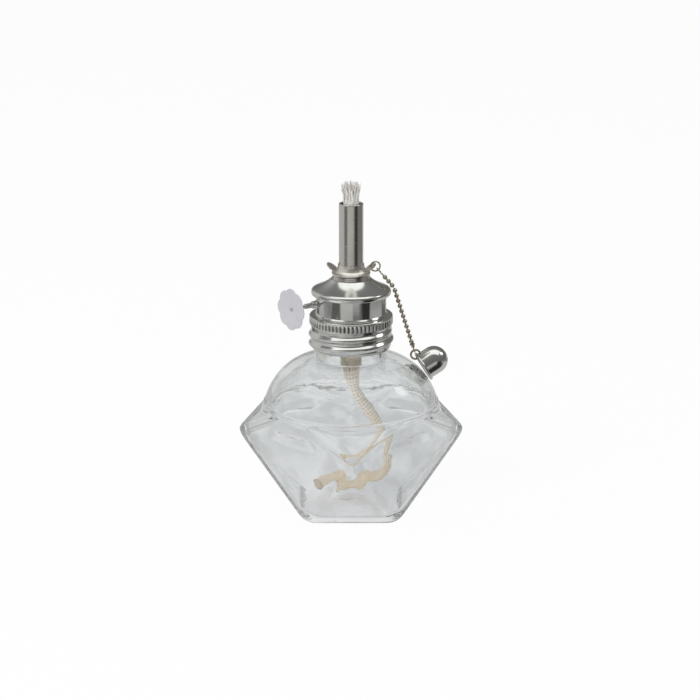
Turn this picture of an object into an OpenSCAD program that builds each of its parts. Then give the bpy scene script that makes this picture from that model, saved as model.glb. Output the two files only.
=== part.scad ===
// Spirit lamp with a faceted glass font, a wick raiser and a snuffer cap on a ball chain.
// Millimetres, +Z up, origin at the centre of the base. The chain hangs in one upright plane.

/* [Glass font] */
// Reach of the four rounded side points from the lamp's axis
tip_reach = 42.4; // [39:0.2:46]
// Height of the side points
tip_z = 32.5; // [30:0.5:35]
// How sharp the moulded edges are
edge_sharp = 32; // [24:1:48]
// Radius that rounds the base's edge
edge_round = 5.1; // [4.2:0.1:5.8]
// Half the width of the square base before it is rounded
base_half = 17.4; // [15.5:0.1:19]
// Slope of the upper triangles, in degrees
shoulder_angle = 37.5; // [35:0.5:40]
// Height of the ledge under the dome
ledge_z = 44.2; // [42.5:0.1:46]
// Radius of the ledge
ledge_r = 33.3; // [32:0.1:34]
// Rise of the dome above the ledge
dome_rise = 16.9; // [15:0.1:18]
// Thickness of the glass wall
glass_wall = 3.0; // [2.2:0.1:3.4]
// Thickness of the font's floor
floor_t = 4.5; // [3.5:0.1:6]
// Outer radius of the neck
neck_r = 13.2; // [12.8:0.1:13.4]
// Height of the neck above the dome
neck_h = 15.2; // [13:0.1:17]

/* [Screw collar] */
// Pitch of the screw thread
pitch = 3.55; // [3.2:0.05:3.8]
// Thickness of the collar's metal in the valleys of the rolled thread
collar_wall = 0.5; // [0.4:0.05:0.9]
// Height of the collar's skirt below the gasket's top
skirt_h = 12.5; // [12:0.1:13.2]
// Height of the rolled bulge
bulge = 1.0; // [0.5:0.05:1.3]
// Height of the knurled band
knurl_h = 3.3; // [2.5:0.1:4]
// Step from the skirt's valleys out to the knurled band
knurl_out = 0.65; // [0.5:0.05:1.2]
// Number of flutes in the knurl
flutes = 62; // [48:1:72]
// Thickness of the neck gasket
gasket_t = 1.2; // [0.8:0.1:2]
// Thickness of the collar's top
plate_t = 0.5; // [0.4:0.05:0.8]

/* [Burner] */
// Outer radius of the drum
drum_r = 13.15; // [12.6:0.05:13.4]
// Height of the drum
drum_h = 8.4; // [7.5:0.1:9.5]
// Thickness of the sheet metal
sheet = 0.4; // [0.3:0.05:0.5]
// Reach of the roof's curled rim beyond the drum
roof_lap = 1.8; // [1.6:0.05:2.4]
// Rise of the roof from its rim to its flat top
roof_rise = 3.9; // [3:0.1:4.8]
// Radius of the socket on the roof
socket_r = 7.0; // [6.4:0.1:7.8]
// Height of the socket
socket_h = 1.3; // [1:0.1:1.8]

/* [Wick and tubes] */
// Diameter of the wick
wick_d = 6.2; // [5.4:0.1:6.4]
// Height of the wick above the tube's mouth
wick_out = 8.4; // [4:0.2:11]
// Inside diameter of the wick guide
guide_bore = 7.1; // [7:0.05:7.3]
// Wall of the wick guide and of the outer tube
tube_wall = 0.45; // [0.35:0.05:0.5]
// Radial gap between the guide and the sliding tube
slide_gap = 0.1; // [0.05:0.01:0.15]
// Height of the outer tube from its foot to its mouth
tube_h = 26.8; // [22:0.2:34]
// Depth of the guide below the collar's top
guide_drop = 21; // [17:0.5:23]
// Radius of the foot's edge
foot_r = 7.2; // [6.6:0.1:8]
// Height of the foot's flare
foot_h = 3.7; // [3:0.1:4.5]
// Radius of the rounded ears
ear_r = 2.6; // [2.3:0.1:3]
// Tilt of the ears above the horizontal, in degrees
ear_tilt = 36; // [32:1:42]
// Turn from the chain's ear to the other one, in degrees
ear_turn = 155; // [150:1:180]

/* [Wick raiser] */
// Heading of the spindle in degrees from +X
spindle_heading = 219; // [200:1:240]
// Height of the spindle above the collar's top
spindle_up = 4.2; // [3.6:0.05:4.6]
// Gap between the toothed wheels and the side of the wick
feed_gap = 0.22; // [0.15:0.01:0.5]
// Diameter of the spindle
spindle_d = 1.9; // [1.5:0.05:2.1]
// Diameter of the spindle's thin end
stub_d = 1.1; // [0.9:0.05:1.4]
// Length of the spindle outside the drum
spindle_reach = 11.2; // [10:0.2:16]
// Radius of the toothed wheels at their tips
feed_r = 3.0; // [2.6:0.05:3]
// Distance from the middle of each toothed wheel to the lamp's axis
feed_side = 1.5; // [1.2:0.05:1.7]
// Thickness of each toothed wheel
feed_t = 0.7; // [0.5:0.05:0.9]
// Radius of the thumbwheel at its lobes
thumb_r = 7.9; // [7:0.1:9.5]
// Thickness of the thumbwheel
thumb_t = 0.6; // [0.5:0.05:0.8]
// Number of lobes
lobes = 8; // [6:1:10]

/* [Chain] */
// Heading of the chain's plane in degrees from +X
chain_heading = 10; // [0:1:20]
// Diameter of a bead
bead_d = 1.8; // [1.5:0.05:1.9]
// Spacing of the beads
bead_step = 2.12; // [2:0.02:2.3]
// Diameter of the wire between the beads
link_d = 0.6; // [0.4:0.05:0.8]
// Radius of the ring in the ear, at the middle of its wire
ear_ring_r = 1.8; // [1.7:0.05:2]
// Radius of the ring in the cap, at the middle of its wire
cap_ring_r = 1.8; // [1.7:0.05:1.9]

/* [Snuffer cap] */
// Outer diameter of the cap
cap_d = 10.6; // [10.3:0.1:11]
// Diameter of the cap's beaded rim
rim_d = 12; // [11.6:0.1:12.4]
// Length of the cap's straight part
cap_len = 5.2; // [4.6:0.1:6]
// Tilt of the cap above the horizontal, in degrees
cap_tilt = 31; // [29:1:33]
// Height above the ledge at which the cap's rim is nearest to the dome
cap_up = 6.8; // [6.4:0.1:7.4]

/* [Hidden] */
$fn = 64;

// Clearances between pieces
fit = 0.02;
shaft_gap = 0.05;
skirt_gap = 0.2;
cap_gap = 0.3;
stub_gap = 0.05;
eps = 0.01;

// Font: its sharp corner and the outward normals of its faces as horizontal and downward parts
tip_sharp = tip_reach*pow(4, 1/edge_sharp);
side_normal = [2, (tip_sharp - 2*base_half)/tip_z*sqrt(2)]/norm([2, (tip_sharp - 2*base_half)/tip_z*sqrt(2)]);
lower_normal = [1, (tip_sharp - base_half)/tip_z]/norm([1, (tip_sharp - base_half)/tip_z]);
upper_normal = [sin(shoulder_angle), cos(shoulder_angle)];
ledge_round = 0.8;
dome_sink = 2.0;
dome_core = 10.5;
dome_steps = 9;
wall_turn = 4;
font_sides = 48;
dome_top = ledge_z + dome_rise;
neck_top = dome_top + neck_h;
neck_bore = neck_r - glass_wall;

// Collar and thread: heights above the base, and turning angles along the thread
seat_z = neck_top + gasket_t;
deck_z = seat_z + plate_t;
knurl_z = seat_z - knurl_h;
skirt_z = seat_z - skirt_h;
collar_in = neck_r + 1.3;
collar_r = collar_in + collar_wall;
knurl_r = collar_r + knurl_out;
skirt_in = collar_in - 0.1;
thread_z = skirt_z + fit;
thread_from = 60;
thread_to = 745;
fade = 70;
ridge_from = 110;
ridge_to = 470;
ridge = collar_in - neck_r - 0.4;
gasket_r = collar_in - ridge - 0.1;
glass_ridge = collar_in - neck_r - skirt_gap - 0.1;
thread_mid = 380;
turn_step = 7.5;
row_step = 0.44;
rows = floor((knurl_z - skirt_z)/row_step);

// Burner
rim_z = deck_z + drum_h;
roof_r = drum_r + roof_lap;
flange_r = roof_r - sheet - 0.4;
roof_z = rim_z + 1.35 + roof_rise;
spigot_r = socket_r - 1.05;
foot_z = roof_z + socket_h + 0.4;
guide_r = guide_bore/2 + tube_wall;
tube_r = guide_r + slide_gap;
tube_out = tube_r + tube_wall;
mouth_z = foot_z + tube_h;
guide_z = deck_z - guide_drop;
guide_top = mouth_z - 4;
lip = 0.45;
mouth_r = tube_out - 2*lip + 0.05;
wick_top = mouth_z + wick_out;

// Wick raiser: distances along the spindle are measured from the lamp's axis
spindle_z = deck_z + spindle_up;
spindle_off = sqrt(pow(wick_d/2, 2) - pow(feed_side - feed_t/2, 2)) + feed_r + feed_gap;
wall_at = sqrt(pow(drum_r, 2) - pow(spindle_off, 2));
stub_at = wall_at + spindle_reach/2;
thumb_at = wall_at + spindle_reach;
bush_r = spindle_d/2 + shaft_gap;
bush_out = bush_r + 0.45;
bush_inside = 1.6;
bush_ahead = 1.9;
cheek_at = feed_side + feed_t/2 + 0.8;
cheek_t = 0.5;
spindle_in = cheek_at + cheek_t + 0.9;
bracket_far = spindle_off + feed_r + 0.3;
bracket_h = 5.2;
teeth = 12;

// Chain: points in its plane, as distance from the axis and height
ear_t = 0.45;
ear_mid = [foot_r + 0.1, foot_z + 1.7];
ear_dir = [cos(ear_tilt), sin(ear_tilt)];
ear_hole_in = 2.3;
ear_hole = ear_mid + (ear_r - ear_hole_in)*ear_dir;
ear_ring_wire = 0.28;
ear_hole_gap = 0.5;
ear_ring_play = 0.6;
ear_ring_lead = (ear_hole_in + ear_ring_wire + ear_ring_play)/2;
ear_ring_drop = sqrt(pow(ear_ring_r, 2) - pow(ear_ring_lead, 2)) - ear_t/2;
ear_ring_at = ear_hole + ear_ring_lead*ear_dir + ear_ring_drop*[ear_dir[1], -ear_dir[0]];
bend = [roof_r + bead_d/2 + 0.45, rim_z + 0.8];
cap_dir = [cos(cap_tilt), sin(cap_tilt)];
cap_side = [-sin(cap_tilt), cos(cap_tilt)];
cap_wall = 0.45;
cap_in = cap_d/2 - cap_wall;
rim_bead = (rim_d/2 - cap_in)/2;
near_z = ledge_z + cap_up;
near_slope = dome_r(near_z + 0.5, 0) - dome_r(near_z - 0.5, 0);
near = [dome_r(near_z, 0) + (rim_bead + cap_gap)*norm([1, near_slope]), near_z];
cap_mid = near - rim_bead*cap_dir + (cap_in + rim_bead)*cap_side;
cap_ring_wire = 0.4;
cap_hole_at = 2.0;
cap_ring_at = cap_mid + 0.35*cap_dir + (cap_d/2 + 0.5)*cap_side;
eye_r = 0.75;
eye_wire = 0.25;
upper_dir = (bend - ear_ring_at)/norm(bend - ear_ring_at);
lower_dir = (cap_ring_at - bend)/norm(cap_ring_at - bend);
upper_eye = ear_ring_at + ear_ring_r*upper_dir;
lower_eye = cap_ring_at - cap_ring_r*lower_dir;
clasp_len = 0.35;
bell_len = 1.9;
upper_last = bend - 0.6*bead_d*upper_dir;
lower_first = bend + 0.75*bead_d*lower_dir;
upper_room = norm(upper_last - upper_eye) - eye_r - clasp_len - fit;
lower_room = norm(lower_eye - lower_first) - eye_r - bell_len - fit;
upper_beads = 1 + floor((upper_room - bead_d/2 - stub_gap)/bead_step);
lower_beads = 1 + floor((lower_room - bead_d/2 - stub_gap)/bead_step);

// Free end of the wick: round numbers along its route, from the guide down and round on the floor
tail_route = [[0, 0, 0], [0.4, 0, -4], [1.6, 0, -8.4], [4, 0, -12.8], [7, 0, -17], [10.4, 0.4, -23.4],
    [12.4, 1.2, -30], [13, 2.6, -35.6], [12.8, 4.6, -40.2], [11.6, 7, -44], [9.2, 9.4, -46.8],
    [5.4, 11.4, -48.4], [0.8, 12.4, -49], [-4, 12, -49], [-8.4, 9.8, -49], [-11.4, 6, -49]];
tail_sides = 10;

// How far the rounded edge of the floor draws a face in, at a height above that floor
function drawn_in(z, normal, r) = let (h = r*(1 - normal[1]), t = max(0, 1 - z/h))
    h/normal[0]*(1 - sqrt(max(0, 1 - t*t)));

// Distance from the axis of the twelve flat faces, blended at their edges, with a wall moved in
function facet_r(a, z, inset, floor_z) = let (
    r = max(edge_round - inset, 1.5),
    side = (2*base_half + (tip_sharp - 2*base_half)*z/tip_z)/sqrt(2) - inset/side_normal[0]
        - drawn_in(z - floor_z, side_normal, r),
    lower = base_half + (tip_sharp - base_half)*z/tip_z - inset/lower_normal[0]
        - drawn_in(z - floor_z, lower_normal, r),
    upper = tip_sharp - (z - tip_z)/tan(shoulder_angle) - inset/upper_normal[0],
    p = edge_sharp,
    parts = [for (k = [0:3]) pow(max(0, cos(a - 45 - 90*k))/side, p)
        + pow(max(0, cos(a - 90*k)), p)*(pow(1/lower, p) + pow(1/upper, p))])
    pow(parts*[1, 1, 1, 1], -1/p);

// Distance of the dome's surface from the axis is a superellipse of its height
function dome_r(z, inset) = let (c = dome_core - inset/2,
    t = max(0, z - ledge_z + dome_sink)/(dome_rise + dome_sink - inset))
    c + (ledge_r - 0.15 - inset - c)*pow(max(0, 1 - pow(min(1, t), 1.42)), 1/2.55);

// Heights of the dome's rows, closer together towards its top
function dome_rows(from, to) = [for (i = [1:dome_steps]) from + (to - from)*sin(90*i/dome_steps)];

// Height of the thread's ridge line at a turning angle
function thread_at(a) = thread_z + pitch*a/360;
// Rises from 0 to 1 over the fade at each end of a stretch of thread
function fading(a, from, to) = max(0, min(1, (a - from)/fade, (to - a)/fade));
// Round bump of one thread, 0 beyond its half width
function bump(d, half) = abs(d) >= half ? 0 : (1 + cos(180*d/half))/2;
// Largest bump of all turns at an angle and height
function thread_bump(a, z, from, to, up, half) = max([for (k = [0:2])
    fading(a + 360*k, from, to)*bump(z - thread_at(a + 360*k) - up, half)]);

// Closed skin over a list of rings, each a list of points, with a fan of triangles at both ends.
// Each four-sided patch is split along the diagonal that lies farther out.
module skin(rings) {
    n = len(rings[0]);
    m = len(rings);
    mean = [for (p = rings[0]) 1/n];
    flat = [for (r = rings) [for (p = r) [p[0], p[1]]]];
    sides = [for (j = [0:m - 2], i = [0:n - 1]) each let (k = (i + 1) % n,
        a = j*n + i, b = j*n + k, c = b + n, d = a + n,
        crest = norm(flat[j][i] + flat[j + 1][k]) >= norm(flat[j][k] + flat[j + 1][i]))
        crest ? [[a, b, c], [a, c, d]] : [[a, b, d], [b, c, d]]];
    ends = [for (i = [0:n - 1]) each let (k = (i + 1) % n, t = (m - 1)*n)
        [[m*n, k, i], [m*n + 1, t + i, t + k]]];
    polyhedron(concat([for (r = rings) each r], [mean*rings[0], mean*rings[m - 1]]), concat(sides, ends));
}

// Ring of points at one height, where r is a list with one distance for each side
function font_ring(z, r) = [for (i = [0:font_sides - 1]) let (a = 360*i/font_sides)
    [r[i]*cos(a), r[i]*sin(a), z]];

// Outside of the font from its base to the neck's top: faces, ledge, dome, and neck with its thread
function outer_rings() = let (angles = [for (i = [0:font_sides - 1]) 360*i/font_sides],
    low = [0, 0.35, 1, 2, 3.2, 4.6],
    faces = [for (t = [0.3, 0.5, 0.7, 0.85, 0.95, 1]) low[5] + (tip_z - low[5])*t],
    over = [for (t = [0.12, 0.3, 0.5, 0.65, 0.78, 0.88]) tip_z + (ledge_z - tip_z)*t],
    top = dome_rows(ledge_z + 0.2, dome_top - 0.1),
    mid = thread_at(thread_mid),
    threads = [for (i = [-7:7]) mid + 0.5*i])
    concat([for (z = concat(low, faces)) font_ring(z, [for (a = angles) facet_r(a, z, 0, 0)])],
        [for (z = over) font_ring(z, [for (a = angles) max(facet_r(a, z, 0, 0), ledge_r)])],
        [font_ring(ledge_z - ledge_round/2, [for (a = angles) max(facet_r(a, ledge_z - 0.8, 0, 0), ledge_r) - 0.1]),
            font_ring(ledge_z, [for (a = angles) ledge_r - ledge_round/2])],
        [for (z = concat([ledge_z + 0.2], top)) font_ring(z, [for (a = angles) max(neck_r, dome_r(z, 0))])],
        [font_ring(dome_top + 0.3, [for (a = angles) neck_r])],
        [for (z = threads) font_ring(z, [for (a = angles)
            neck_r + glass_ridge*thread_bump(a, z, thread_mid - 200, thread_mid + 200, 0, 1.2)])],
        [font_ring(neck_top - 0.4, [for (a = angles) neck_r]),
            font_ring(neck_top, [for (a = angles) neck_r - 0.4])]);

// Inside of the font from the neck's top down to its floor
function inner_rings() = let (angles = [for (i = [0:font_sides - 1]) 360*i/font_sides],
    top = dome_rows(ledge_z - 2, dome_top - glass_wall - 0.05),
    inside = glass_wall,
    faces = [for (t = [0.92, 0.75, 0.6, 0.5, 0.4, 0.25, 0.1]) floor_t + (ledge_z - 2 - floor_t)*t],
    low = [2.2, 1.1, 0.4, 0])
    concat([font_ring(neck_top, [for (a = angles) neck_bore]),
            font_ring(dome_top - inside + 0.3, [for (a = angles) neck_bore])],
        [for (i = [dome_steps - 1:-1:0]) font_ring(top[i], [for (a = angles) max(neck_bore, dome_r(top[i], inside))])],
        [for (z = faces) font_ring(z, [for (a = angles) let (f = facet_r(a, z, inside, floor_t))
            z > tip_z + wall_turn ? max(f, dome_r(z, inside) - 0.4) : f])],
        [for (z = low) font_ring(floor_t + z, [for (a = angles) facet_r(a, floor_t + z, inside, floor_t)])]);

module glass_font() color("#dfe8e6") skin(concat(outer_rings(), inner_rings()));

module neck_gasket() color("#3a3633") translate([0, 0, neck_top]) difference() {
    cylinder(r = gasket_r, h = gasket_t);
    translate([0, 0, -1]) cylinder(r = neck_bore + 0.4, h = gasket_t + 2);
}

// Rolled skirt: its outside carries the round thread, its inside the ridge that holds the glass
module rolled_skirt() {
    n = 360/turn_step;
    top = knurl_z + 0.5;
    zs = concat([skirt_z, skirt_z + 0.15], [for (i = [1:rows - 1]) skirt_z + i*row_step], [knurl_z, top]);
    m = len(zs);
    outer = [for (z = zs) [for (i = [0:n - 1]) let (a = i*turn_step,
        r = min(collar_r, collar_r - 0.45 + 0.45*(z - skirt_z)/1.2)
            + bulge*thread_bump(a, z, thread_from, thread_to, 0, 0.47*pitch) - (z == skirt_z ? 0.1 : 0))
        [r*cos(a), r*sin(a), z]]];
    inner = [for (j = [m - 1:-1:0]) let (z = zs[j]) [for (i = [0:n - 1]) let (a = i*turn_step,
        r = (z < skirt_z + 1 ? skirt_in : collar_in)
            - ridge*thread_bump(a, z, ridge_from, ridge_to, pitch/2, 0.85))
        [r*cos(a), r*sin(a), z]]];
    rings = concat(outer, inner);
    k = len(rings);
    polyhedron([for (r = rings) each r], [for (j = [0:k - 1], i = [0:n - 1]) each
        let (a = j*n + i, b = j*n + (i + 1) % n, c = ((j + 1) % k)*n + (i + 1) % n, d = ((j + 1) % k)*n + i)
        [[a, c, b], [a, d, c]]]);
}

// Outline of the knurl: a shallow groove between each two ribs
function knurl_line() = [for (i = [0:flutes - 1], s = [[-0.5, 0.4], [-0.2, 0.05], [0.2, 0.05]])
    let (a = 360*(i + s[0])/flutes, r = knurl_r - s[1]) [r*cos(a), r*sin(a)]];

module screw_collar() color("#c3c3c1") union() {
    rolled_skirt();
    translate([0, 0, knurl_z]) linear_extrude(knurl_h - 0.2) difference() {
        polygon(knurl_line());
        circle(collar_in);
    }
    rotate_extrude() polygon([[guide_r + fit, seat_z], [collar_in, seat_z], [collar_in, seat_z - 0.3],
        [knurl_r - 0.15, seat_z - 0.3], [knurl_r - 0.15, seat_z], [knurl_r - 0.5, seat_z + 0.35],
        [drum_r + 0.5, deck_z], [guide_r + fit, deck_z]]);
}

// Cylinder along the spindle from one distance to another
module along(from, to, r) {
    rotate(spindle_heading) translate([from, 0, spindle_z]) rotate([0, 90, 0])
        translate([0, -spindle_off, 0]) cylinder(r = r, h = to - from);
}

module burner_housing() color("#b9b9b6") difference() {
    rotate_extrude() polygon([[drum_r - 2.2, deck_z], [drum_r + 0.35, deck_z],
        [drum_r + 0.35, deck_z + 0.25], [drum_r, deck_z + 0.7], [drum_r, rim_z - sheet],
        [flange_r, rim_z - sheet], [flange_r, rim_z], [drum_r - sheet, rim_z],
        [drum_r - sheet, deck_z + sheet], [drum_r - 2.2, deck_z + sheet]]);
    along(wall_at - bush_inside - 1, wall_at + bush_ahead + 1, bush_out + shaft_gap);
}

// Roof: half-round rim that hooks under the drum's flange, a hollow cone and a flat top
module housing_roof() color("#a9aaa6") {
    hook = drum_r + 0.4;
    over = rim_z + 0.1;
    step = (roof_r - 0.75 - socket_r - 0.4)/4;
    cone = [for (i = [0:4]) [roof_r - 0.75 - step*i, over + 1.25 + roof_rise*(0.72*i/4 + 0.28*pow(i/4, 3))]];
    rotate_extrude() polygon(concat([[hook, rim_z - 0.95], [roof_r - 0.5, rim_z - 0.95], [roof_r - 0.1, rim_z - 0.5],
        [roof_r, over + 0.2], [roof_r - 0.2, over + 0.75]], cone,
        [[socket_r + 0.25, roof_z], [spigot_r + fit, roof_z], [spigot_r + fit, roof_z - sheet],
        [socket_r, roof_z - sheet]], [for (i = [3:-1:1]) cone[i] - [0.15, sheet]],
        [[roof_r - 0.7, over + 0.5], [roof_r - sheet, over + 0.1], [roof_r - sheet, rim_z - sheet - 0.05],
        [hook, rim_z - sheet - 0.05]]));
}

module tube_socket() color("#9f9892") translate([0, 0, roof_z]) difference() {
    union() {
        translate([0, 0, -0.7]) cylinder(r = spigot_r, h = 0.8);
        cylinder(r = socket_r, h = socket_h*0.45);
        cylinder(r = socket_r - 0.3, h = socket_h);
    }
    translate([0, 0, -2]) cylinder(r = guide_r + fit, h = socket_h + 4);
}

module wick_guide() color("#b3a47a") difference() {
    translate([0, 0, guide_z]) cylinder(r = guide_r, h = guide_top - guide_z);
    translate([0, 0, guide_z - 1]) cylinder(r = guide_bore/2, h = guide_top - guide_z + 2);
    rotate(spindle_heading) translate([-cheek_at + 0.3, -guide_r - 1, spindle_z - feed_r + 0.4])
        cube([2*cheek_at - 0.6, guide_r - 1, 2*feed_r - 0.8]);
}

module spindle_bracket() color("#b3a47a") difference() {
    rotate(spindle_heading) translate([0, 0, spindle_z - bracket_h/2]) {
        for (s = [-1, 1]) translate([s*(cheek_at + cheek_t/2) - cheek_t/2, -bracket_far - cheek_t, 0])
            cube([cheek_t, bracket_far + cheek_t - guide_r/2, bracket_h]);
        translate([-cheek_at - cheek_t, -bracket_far - cheek_t, 0])
            cube([2*(cheek_at + cheek_t), cheek_t, bracket_h]);
    }
    translate([0, 0, deck_z]) cylinder(r = guide_r + fit, h = 2*spindle_up);
    along(-cheek_at - 2, cheek_at + 2, bush_r);
}

module spindle_bushing() color("#8d8d8a") difference() {
    along(wall_at - bush_inside, wall_at + bush_ahead, bush_out);
    along(wall_at - bush_inside - 1, wall_at + bush_ahead + 1, bush_r);
}

module spindle() color("#a8a8a5") union() {
    along(-spindle_in, stub_at, spindle_d/2);
    along(stub_at - eps, thumb_at + thumb_t + 0.35, stub_d/2);
}

module feed_wheel(at) {
    rotate(spindle_heading) translate([at - feed_t/2, -spindle_off, spindle_z]) rotate([0, 90, 0])
        linear_extrude(feed_t) difference() {
            polygon([for (i = [0:2*teeth - 1]) (i % 2 == 0 ? feed_r : feed_r - 0.8)
                *[cos(180*i/teeth), sin(180*i/teeth)]]);
            circle(spindle_d/2 + fit);
        }
}

module feed_wheel_inner() color("#b3a47a") feed_wheel(-feed_side);

module feed_wheel_outer() color("#b3a47a") feed_wheel(feed_side);

module spindle_washer() color("#8d8d8a") difference() {
    along(-cheek_at - cheek_t - 0.5, -cheek_at - cheek_t - shaft_gap, spindle_d/2 + 0.6);
    along(-spindle_in - 1, 0, spindle_d/2 + fit);
}

// Lobed disc, dished towards its middle, with a small flat boss
module thumbwheel() color("#cfcfcd") {
    dish = 0.7;
    lobe = thumb_r*0.43;
    boss = 1.7;
    rotate(spindle_heading) translate([thumb_at, -spindle_off, spindle_z]) rotate([0, 90, 0])
        difference() {
            intersection() {
                translate([0, 0, -dish]) linear_extrude(thumb_t + 2*dish) union() {
                    circle(thumb_r*0.8);
                    for (i = [0:lobes - 1]) rotate(360*i/lobes) translate([thumb_r - lobe, 0]) circle(lobe);
                }
                rotate_extrude() polygon([[0, 0], [boss, 0], [thumb_r + 1, dish], [thumb_r + 1, dish + thumb_t],
                    [boss, thumb_t], [0, thumb_t]]);
            }
            translate([0, 0, -1]) cylinder(r = stub_d/2 + fit, h = thumb_t + 2);
        }
}

// Wick in the tubes, with a slightly swollen frayed top that still passes the mouth
module wick() color("#ded9cc") {
    r = wick_d/2;
    puff = min(mouth_r - 0.1, r + 0.4);
    rotate_extrude() polygon([[0, guide_z], [r, guide_z], [r, wick_top - 5], [puff, wick_top - 2.2],
        [puff - 0.3, wick_top - 0.8], [r - 1, wick_top], [0, wick_top]]);
}

// Unit direction of the route at one of its points
function heading(p, i) = let (d = p[min(i + 1, len(p) - 1)] - p[max(i - 1, 0)]) d/norm(d);

// Ring of points round the route: the first side stays as level as it can
function tail_ring(p, i) = let (d = i == 0 ? [0, 0, -1] : heading(p, i), s = cross(d, [0.2, 1, 0.3]),
        u = s/norm(s), v = cross(d, u))
    [for (k = [0:tail_sides - 1]) let (a = 360*k/tail_sides)
        p[i] + [0, 0, guide_z] + wick_d/2*(cos(a)*u + sin(a)*v)];

module wick_tail() color("#d8d0ba") skin([for (i = [0:len(tail_route) - 1]) tail_ring(tail_route, i)]);

module wick_tube() color("#b0aeaa") rotate_extrude() union() {
    polygon([[tube_r, foot_z], [tube_out, foot_z], [tube_out, mouth_z - lip], [tube_r, mouth_z - lip]]);
    translate([tube_out - lip, mouth_z - lip]) circle(lip, $fn = 32);
}

// Plate of an ear: a round tab that rises from the foot's edge
module ear(side) {
    rotate(chain_heading + side) translate([ear_mid[0], 0, ear_mid[1]]) rotate([0, -ear_tilt, 0])
        cylinder(r = ear_r, h = ear_t);
}

module finger_flange() color("#aaa8a3") {
    low = foot_r - tube_out - 0.35;
    difference() {
        union() {
            rotate_extrude() polygon(concat([[tube_out + fit, foot_z], [foot_r, foot_z]],
                [for (i = [0:6]) [foot_r - low*sin(15*i), foot_z + 0.5 + (foot_h - 0.5)*(1 - cos(15*i))]],
                [[tube_out + fit, foot_z + foot_h]]));
            ear(0);
            ear(ear_turn);
        }
        translate([0, 0, foot_z - 1]) cylinder(r = tube_out + fit, h = foot_h + 6);
        rotate(chain_heading) translate([ear_hole[0], 0, ear_hole[1]]) rotate([0, -ear_tilt, 0])
            translate([0, 0, -1]) cylinder(r = ear_ring_wire + ear_hole_gap, h = 3);
    }
}

// Moves into the chain's plane, with X along the direction given there
module in_plane(at, dir) {
    rotate(chain_heading) translate([at[0], 0, at[1]]) rotate([0, -atan2(dir[1], dir[0]), 0]) children();
}

// Wire ring round Z
module wire_ring(r, wire) {
    rotate_extrude() translate([r, 0]) circle(wire, $fn = 32);
}

module ear_ring() color("#c8b98a") in_plane(ear_ring_at, [1, 0]) rotate([90, 0, 0])
    wire_ring(ear_ring_r, ear_ring_wire);

module chain_clasp() color("#c8b98a") in_plane(upper_eye, upper_dir) {
    wire_ring(eye_r, eye_wire);
    translate([eye_r, 0, 0]) rotate([0, 90, 0]) cylinder(r = link_d/2, h = clasp_len);
}

// Beads on their wire, from the first bead's middle along X, with stubs of wire at both ends
module beads(count, before, after) {
    for (i = [0:count - 1]) translate([i*bead_step, 0, 0]) sphere(d = bead_d);
    translate([-before, 0, 0]) rotate([0, 90, 0]) cylinder(d = link_d, h = before + after + (count - 1)*bead_step);
}

module chain_upper() color("#c8b98a") {
    run = (upper_beads - 1)*bead_step;
    in_plane(upper_last - run*upper_dir, upper_dir) beads(upper_beads, upper_room - run, bead_d/2 + stub_gap);
}

module chain_lower() color("#c8b98a") in_plane(lower_first, lower_dir)
    beads(lower_beads, 0.6*bead_d, lower_room - (lower_beads - 1)*bead_step);

module chain_connector() color("#c8b98a") in_plane(lower_eye, -lower_dir) {
    wire_ring(eye_r, eye_wire);
    translate([eye_r, 0, 0]) rotate([0, 90, 0]) {
        cylinder(r = link_d/2, h = bell_len);
        translate([0, 0, 0.5]) cylinder(r1 = 0.6, r2 = 1.0, h = bell_len - 0.5);
    }
}

module cap_ring() color("#c8b98a") in_plane(cap_ring_at, [1, 0]) rotate([90, 0, 0])
    wire_ring(cap_ring_r, cap_ring_wire);

// Cap from its mouth along Z: beaded rim, straight wall and half-round end
module snuffer_cap() color("#b5b3af") {
    r = cap_d/2;
    in_plane(cap_mid, cap_dir) rotate([0, 90, 0]) difference() {
        union() {
            cylinder(r = r, h = cap_len);
            translate([0, 0, cap_len]) sphere(r = r);
            rotate_extrude() translate([cap_in + rim_bead, rim_bead]) circle(rim_bead, $fn = 32);
        }
        translate([0, 0, -1]) cylinder(r = cap_in, h = cap_len + 1);
        translate([0, 0, cap_len]) sphere(r = cap_in);
        translate([0, 0, cap_hole_at]) rotate([0, -90, 0]) cylinder(r = cap_ring_wire*2, h = r + 2);
    }
}

glass_font();
neck_gasket();
screw_collar();
burner_housing();
housing_roof();
tube_socket();
wick_guide();
spindle_bracket();
spindle_bushing();
spindle();
feed_wheel_inner();
feed_wheel_outer();
spindle_washer();
thumbwheel();
wick();
wick_tail();
wick_tube();
finger_flange();
ear_ring();
chain_clasp();
chain_upper();
chain_lower();
chain_connector();
cap_ring();
snuffer_cap();
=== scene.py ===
"""Spirit lamp: the finished surfaces, the wick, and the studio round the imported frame."""
import math

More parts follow.
